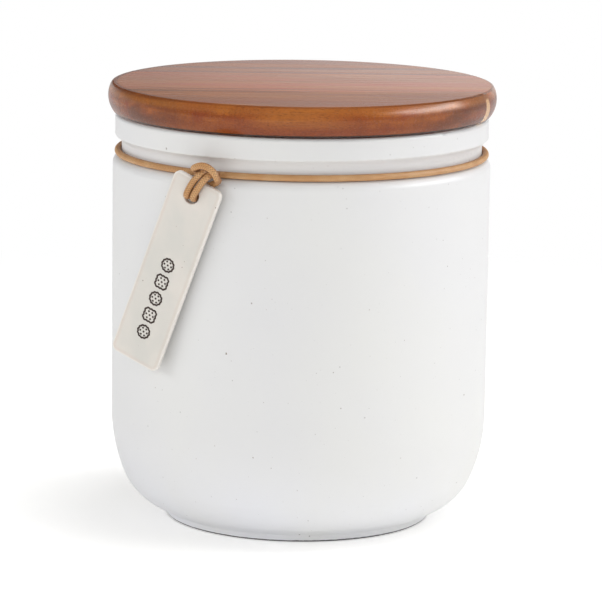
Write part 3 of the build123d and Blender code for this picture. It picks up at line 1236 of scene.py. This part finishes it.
@dataclass
class BiscuitRow:
    """Row of small line-drawn biscuits, round and square in turn, along the tag."""

    size: float = 6.0
    pitch: float = 7.6
    count: int = 5
    stroke: float = 0.75
    height: float = 0.05
    outline_points: int = 96
    scallops: float = 12.0
    scallop_depth: float = 0.045
    dot: float = 0.42
    dot_sides: int = 20
    dot_ring: float = 0.27
    dots: int = 6
    squareness: Span = (2.0, 5.0)

    def tree(self, material: Material) -> GeometryTree:
        """Builds the tree that lays out the row in the XY plane, along Y from the origin.

        Args:
            material: Material of the marks.

        Returns:
            The tree.
        """
        values = {
            "Size": self.size * MM,
            "Pitch": self.pitch * MM,
            "Stroke": self.stroke * MM,
            "Height": self.height * MM,
            "Scallops": self.scallops,
            "Scallop Depth": self.scallop_depth,
            "Dot Radius": self.dot * MM,
            "Dot Ring": self.dot_ring,
            "Dots": self.dots,
            "Round Count": (self.count + 1) // 2,
            "Square Count": self.count // 2,
            "Material": material,
        }
        tree = GeometryTree("biscuit_row", values)
        pitch, rows = tree.given["Pitch"], []
        for number, label in enumerate(("Round Count", "Square Count")):
            start = tree.join(0.0, tree.times(pitch, float(number)), 0.0)
            step = tree.join(0.0, tree.times(pitch, 2.0), 0.0)
            inputs = {"Count": tree.given[label], "Start Location": start, "Offset": step}
            places = tree.made("MeshLine", inputs)
            biscuit = self.biscuit(tree, self.squareness[number])
            rows.append(tree.made("InstanceOnPoints", {0: places, "Instance": biscuit}))
        tree.end(tree.both(rows))
        return tree

    def biscuit(self, tree: GeometryTree, squareness: float) -> Socket:
        """One biscuit: a scalloped outline with a ring of dots and one dot in its middle.

        Args:
            tree: Tree of the row.
            squareness: Power of the outline: 2 is a circle, more is squarer.

        Returns:
            The biscuit round the origin.
        """
        given = tree.given
        place = tree.made("InputPosition")
        x, y, _ = tree.parts(place)
        power = [tree.math("POWER", tree.math("ABSOLUTE", value), squareness) for value in (x, y)]
        reach = tree.math("POWER", tree.math("ADD", *power), -1 / squareness)
        wave = tree.math("COSINE", tree.times(tree.math("ARCTAN2", y, x), given["Scallops"]))
        wave = tree.math("MULTIPLY_ADD", wave, given["Scallop Depth"], 1.0)
        half = tree.times(tree.math("SUBTRACT", given["Size"], given["Stroke"]), 0.5)
        moved = tree.vector("SCALE", place, tree.times(reach, wave, half))
        ring = tree.made("CurvePrimitiveCircle", {0: self.outline_points, "Radius": 1.0})
        outline = tree.made("SetPosition", {0: ring, "Position": moved})
        thickness = tree.times(given["Height"], 2.0)
        inputs = {"Width": given["Stroke"], "Height": thickness}
        band = tree.made("CurvePrimitiveQuadrilateral", inputs)
        outline = tree.made("CurveToMesh", {"Curve": outline, "Profile Curve": band})
        inputs = {"Vertices": self.dot_sides, "Radius": given["Dot Radius"], "Depth": thickness}
        dot = tree.made("MeshCylinder", inputs)
        dot_ring = tree.times(given["Size"], given["Dot Ring"])
        circle = tree.made("CurvePrimitiveCircle", {0: given["Dots"], "Radius": dot_ring})
        places = tree.made("CurveToPoints", {0: circle}, mode="EVALUATED")
        dots = tree.made("InstanceOnPoints", {0: places, "Instance": dot})
        return tree.both((outline, dots, dot))


@dataclass
class Tag:
    """The clay tag: its glaze, and the row of biscuits on its front."""

    finish: TagGlaze
    ink: TagInk
    hole: Vector
    normal: Vector
    facing: float = -27.0
    tilt: float = 22.2
    width: float = 22.4
    length: float = 82.0
    thickness: float = 2.4
    corner: float = 2.8
    hole_from_top: float = 7.0
    hole_from_left: float = 10.3
    row: BiscuitRow = field(default_factory=BiscuitRow)
    row_from_bottom: float = 13.5

    def pose(self) -> Matrix:
        """Place of the tag's own axes: across, along and out from the middle of its hole.

        Returns:
            The place, in metres.
        """
        sideways = Vector((cos(radians(self.facing)), sin(radians(self.facing)), 0.0))
        across = Matrix.Rotation(radians(-self.tilt), 3, self.normal) @ sideways
        along = self.normal.cross(across)
        turn = Matrix((across, along, self.normal)).transposed().to_4x4()
        return Matrix.Translation(self.hole) @ turn

    def pose_point(self, point: Point) -> Vector:
        """Point of the frame, in millimetres, of a point (across, along, out) of the tag."""
        return (self.pose() @ (Vector(point) * MM)) / MM

    def plate_middle(self) -> Span:
        """Middle of the plate, across and along from the hole."""
        return (self.width / 2 - self.hole_from_left, self.hole_from_top - self.length / 2)

    def build(self) -> list[Object]:
        """Dresses the tag's node and builds the marks on it.

        Returns:
            The marks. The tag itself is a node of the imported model.
        """
        dress("tag", self.finish.make(self))
        holder = linked("marks_holder", bpy.data.meshes.new("marks_holder"))
        marks = self.row.tree(self.ink.make()).run("tag_marks", holder)
        across, along = self.plate_middle()
        along += self.row_from_bottom - self.length / 2
        start = Vector((across, along, self.thickness / 2)) * MM
        marks.data.transform(self.pose() @ Matrix.Translation(start))
        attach(marks, "tag")
        return [marks]


# ---------------- jar and lid


def dress(node: str, material: Material) -> Object:
    """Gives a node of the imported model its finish.

    Args:
        node: Name of the node.
        material: Its finish.

    Returns:
        The object of the node.
    """
    piece = bpy.data.objects[node]
    piece.data.materials.clear()
    piece.data.materials.append(material)
    return piece


@dataclass
class Jar:
    """The stoneware pot."""

    glaze: StonewareGlaze

    def build(self) -> list[Object]:
        """Dresses the pot."""
        return [dress("jar_body", self.glaze.make())]


@dataclass
class Lid:
    """The lid: three boards, the plug under them and its soft seal."""

    outer: AcaciaBoard
    middle: AcaciaBoard
    plug: AcaciaBoard
    seal: SealSilicone

    def build(self) -> list[Object]:
        """Dresses the boards, the plug and the seal.

        Returns:
            The five dressed pieces.
        """
        outer = self.outer.make()
        return [
            dress("lid_stave_front", outer),
            dress("lid_stave_back", outer),
            dress("lid_stave_middle", self.middle.make()),
            dress("lid_plug", self.plug.make()),
            dress("lid_seal", self.seal.make()),
        ]


def acacia_lid() -> Lid:
    """The lid with its three kinds of acacia. The plug gets no patina and no painted shade.

    Returns:
        The lid, ready to build.
    """
    return Lid(
        outer=AcaciaBoard(
            slot=Slot.BOARD_OUTER,
            pith=(-58.0, 60.0),
            ring_width=5.0,
            shift=(40.0, 12.0, 5.0),
            dark=srgb(114, 52, 18),
            middle=srgb(162, 85, 31),
            light=srgb(186, 106, 44),
            red=srgb(148, 68, 30),
        ),
        middle=AcaciaBoard(
            slot=Slot.BOARD_MIDDLE,
            pith=(10.0, 120.0),
            ring_width=6.0,
            shift=(-310.0, 95.0, 60.0),
            dark=srgb(134, 70, 36),
            middle=srgb(182, 104, 58),
            light=srgb(196, 120, 70),
            red=srgb(190, 92, 62),
            patina_and_shade=PatinaAndShade(dry=srgb(172, 114, 78), dry_back_and_painted_reflection=srgb(188, 136, 106)),
            sapwood=Sapwood(),
        ),
        plug=AcaciaBoard(
            slot=Slot.PLUG,
            pith=(30.0, 40.0),
            ring_width=8.0,
            shift=(120.0, -200.0, 33.0),
            dark=srgb(112, 58, 28),
            middle=srgb(156, 92, 48),
            light=srgb(182, 118, 68),
            red=srgb(152, 82, 48),
            patina_and_shade=PatinaAndShade(top=OUT_OF_REACH),
            joint=OUT_OF_REACH,
        ),
        seal=SealSilicone(),
    )


# ---------------- studio


@dataclass
class Softbox:
    """Flat lamp that faces the jar: it lights matt colour if lit, and shows in gloss if mirrored.

    Its place is an azimuth, an elevation and a distance, and its size a width and a height.
    """

    name: str
    place: Point
    size: Span
    power: float
    mirrored: bool = False
    lit: bool = True

    def build(self, aim: Vector) -> None:
        """Makes the lamp.

        Args:
            aim: Point that the lamp faces, in metres.
        """
        data = bpy.data.lights.new(self.name, "AREA")
        data.shape = "RECTANGLE"
        data.size, data.size_y = (side * MM for side in self.size)
        data.energy = self.power
        lamp = linked(self.name, data)
        lamp.visible_glossy = self.mirrored
        lamp.visible_diffuse = self.lit
        azimuth, elevation, distance = self.place
        turn, rise = radians(azimuth), radians(elevation)
        away = Vector((sin(turn) * cos(rise), -cos(turn) * cos(rise), sin(rise)))
        lamp.location = aim + away * distance * MM
        lamp.rotation_euler = away.to_track_quat("Z", "Y").to_euler()


@dataclass
class Studio:
    """Pale floor, white surroundings, soft lamps and the camera."""

    floor_size: float = 12000.0
    floor_colour: Colour = (0.90, 0.895, 0.88)
    floor_pale: Colour = (0.91, 0.905, 0.89)
    floor_grain: Pattern = Pattern(even(40.0), (0.2, 0.9))
    floor_roughness: float = 0.9
    floor_shine: float = 0.1
    floor_lift: float = 0.475
    floor_bounce: float = 0.40
    shade_floor: float = 0.66
    shade_reach: float = 95.0
    shade_lean: Point = (1.1, 0.0, 0.8)
    shade_samples: int = 16
    fade: Span = (330.0, 640.0)
    sky: float = 0.39
    mirror_sky: float = 0.12
    mirror_brightness: Span = (0.82, 1.26)
    mirror_tops: Span = (0.26, 0.45)
    mirror_low: float = 0.03
    mirror_edge: Span = (-0.06, 0.06)
    mirror_back: Span = (-0.5, 0.1)
    mirror_front: float = 0.35
    mirror_far: Span = (0.3, 0.6)
    mirror_far_share: float = 0.45
    aim_height: float = 89.37
    camera_distance: float = 1541.9
    camera_elevation: float = 10.546
    camera_roll: float = 0.775
    camera_lens: float = 221.45
    camera_shift: float = 0.00214
    camera_reach: float = 100.0
    lamps: tuple[Softbox, ...] = (
        Softbox("key_strip", (78.0, 23.0, 1500.0), (1300.0, 260.0), 4.6, mirrored=True),
        Softbox("key_glint", (84.0, 20.0, 1480.0), (1200.0, 440.0), 13.0, mirrored=True, lit=False),
        Softbox("high_right", (95.0, 45.0, 1500.0), (600.0, 600.0), 3.3),
        Softbox("left_wall", (-72.0, 20.0, 2000.0), (1600.0, 500.0), 8.1),
        Softbox("front_wall", (-12.0, 24.0, 2000.0), (1600.0, 500.0), 4.4),
        Softbox("right_wall", (66.0, 3.0, 2000.0), (1600.0, 500.0), 0.6),
        Softbox("top_box", (80.0, 80.0, 1600.0), (700.0, 700.0), 7.6),
    )

    def build(self) -> None:
        """Builds the whole studio."""
        self.floor()
        self.world()
        self.camera()
        for lamp in self.lamps:
            lamp.build(self.aim())
        bpy.context.scene.view_settings.view_transform = "Standard"

    def aim(self) -> Vector:
        """Point that the camera and the lamps face, in metres."""
        return Vector((0.0, 0.0, self.aim_height * MM))

    def seen(self, graph: Graph, path: Sequence[Socket]) -> Socket:
        """Whether a ray comes straight from the camera, or through something clear."""
        return graph.either(path[Ray.CAMERA.value], path[Ray.TRANSMISSION.value])

    def floor(self) -> None:
        """Makes the floor: it keeps the jar's shadow and is white away from it.

        Its glow is darkened near the jar as painted shadow.
        """
        half = self.floor_size / 2 * MM
        mesh = bpy.data.meshes.new("floor")
        square = [(-half, -half, 0.0), (half, -half, 0.0), (half, half, 0.0), (-half, half, 0.0)]
        mesh.from_pydata(square, [], [(0, 1, 2, 3)])
        floor = linked("floor", mesh)
        shader = Shader("floor_paper")
        paper = shader.mix(self.floor_grain.cover(shader), self.floor_colour, self.floor_pale)
        shine = self.floor_shine
        shader.finish(Base_Color=paper, Roughness=self.floor_roughness, Specular_IOR_Level=shine)
        path = shader.add("ShaderNodeLightPath").outputs
        seen = self.seen(shader, path)
        for ray in (Ray.GLOSSY, Ray.DIFFUSE):
            seen = shader.either(seen, shader.times(path[ray.value], self.floor_bounce))
        # Painted shadow: occlusion darkens the floor's glow near the jar, leaning as if lit from
        # the right.
        lean = Vector(self.shade_lean).normalized()
        inputs = {"Distance": self.shade_reach * MM, "Normal": lean}
        shade = shader.add("ShaderNodeAmbientOcclusion", inputs, samples=self.shade_samples)
        glow = shader.times(shader.either(shade.outputs["AO"], self.shade_floor), self.floor_lift)
        lift = shader.add("ShaderNodeEmission", {"Strength": shader.times(seen, glow)})
        near = shader.add("ShaderNodeAddShader", {0: shader.surface.outputs[0], 1: lift.outputs[0]})
        white = shader.add("ShaderNodeEmission", {"Strength": 1.0})
        away = shader.times(shader.over(shader.length(shader.place), self.fade), seen)
        inputs = {0: away, 1: near.outputs[0], 2: white.outputs[0]}
        ground = shader.add("ShaderNodeMixShader", inputs)
        shader.plug(ground.outputs[0], shader.output.inputs[0])
        mesh.materials.append(shader.material)

    def world(self) -> None:
        """Makes the surroundings: white to see, even as light, panels on a dark wall in gloss."""
        world = bpy.data.worlds.new("studio")
        world.use_nodes = True
        bpy.context.scene.world = world
        graph = Graph(world.node_tree)
        path = graph.add("ShaderNodeLightPath").outputs
        x, y, up = graph.parts(graph.add("ShaderNodeTexCoord").outputs["Generated"])
        side = graph.over(x, self.mirror_edge)
        bright = graph.blend(side, *self.mirror_brightness)
        top = graph.blend(side, *self.mirror_tops)
        panel = graph.rest(graph.rise(up, self.mirror_low, top))
        behind = graph.either(graph.over(y, self.mirror_back), self.mirror_front)
        wall = graph.blend(graph.over(x, self.mirror_far), 1.0, self.mirror_far_share)
        mirrored = graph.either(graph.times(panel, wall, behind, bright), self.mirror_sky)
        strength = graph.blend(path[Ray.GLOSSY.value], self.sky, mirrored)
        strength = graph.blend(self.seen(graph, path), strength, 1.0)
        background = world.node_tree.nodes["Background"]
        graph.plug(strength, background.inputs["Strength"])
        graph.plug(even(1.0), background.inputs["Color"])

    def camera(self) -> None:
        """Makes the camera, a long lens a little above the jar's shoulder."""
        data = bpy.data.cameras.new("camera")
        data.lens = self.camera_lens
        data.shift_x = self.camera_shift
        data.clip_end = self.camera_reach
        camera = linked("camera", data)
        rise = radians(self.camera_elevation)
        back = Vector((0.0, -cos(rise), sin(rise)))
        camera.location = self.aim() + back * self.camera_distance * MM
        camera.rotation_mode = "QUATERNION"
        level = back.to_track_quat("Z", "Y")
        roll = Matrix.Rotation(radians(self.camera_roll), 4, back).to_quaternion()
        camera.rotation_quaternion = roll @ level
        bpy.context.scene.camera = camera


# ---------------- the whole scene


def tag_joint(frame: dict) -> dict:
    """The joint that turns the tag about its hole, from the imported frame."""
    return next(joint for joint in frame["joints"] if joint["name"] == "tag_swing")


def main() -> None:
    """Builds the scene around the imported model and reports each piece."""
    logging.basicConfig(level=logging.INFO, format="%(name)s: %(message)s")
    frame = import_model()
    Studio().build()
    joint = tag_joint(frame)
    tag = Tag(
        finish=TagGlaze(),
        ink=TagInk(),
        hole=Vector(joint["pos_m"]),
        normal=Vector(joint["axis"]).normalized(),
    )
    cord = NeckCord(tag=tag, finish=WaxedCord())
    for assembly in (Jar(StonewareGlaze()), acacia_lid(), tag, cord):
        for piece in assembly.build():
            LOG.info("%s: %d faces", piece.name, len(piece.data.polygons))


if __name__ == "__main__":
    main()
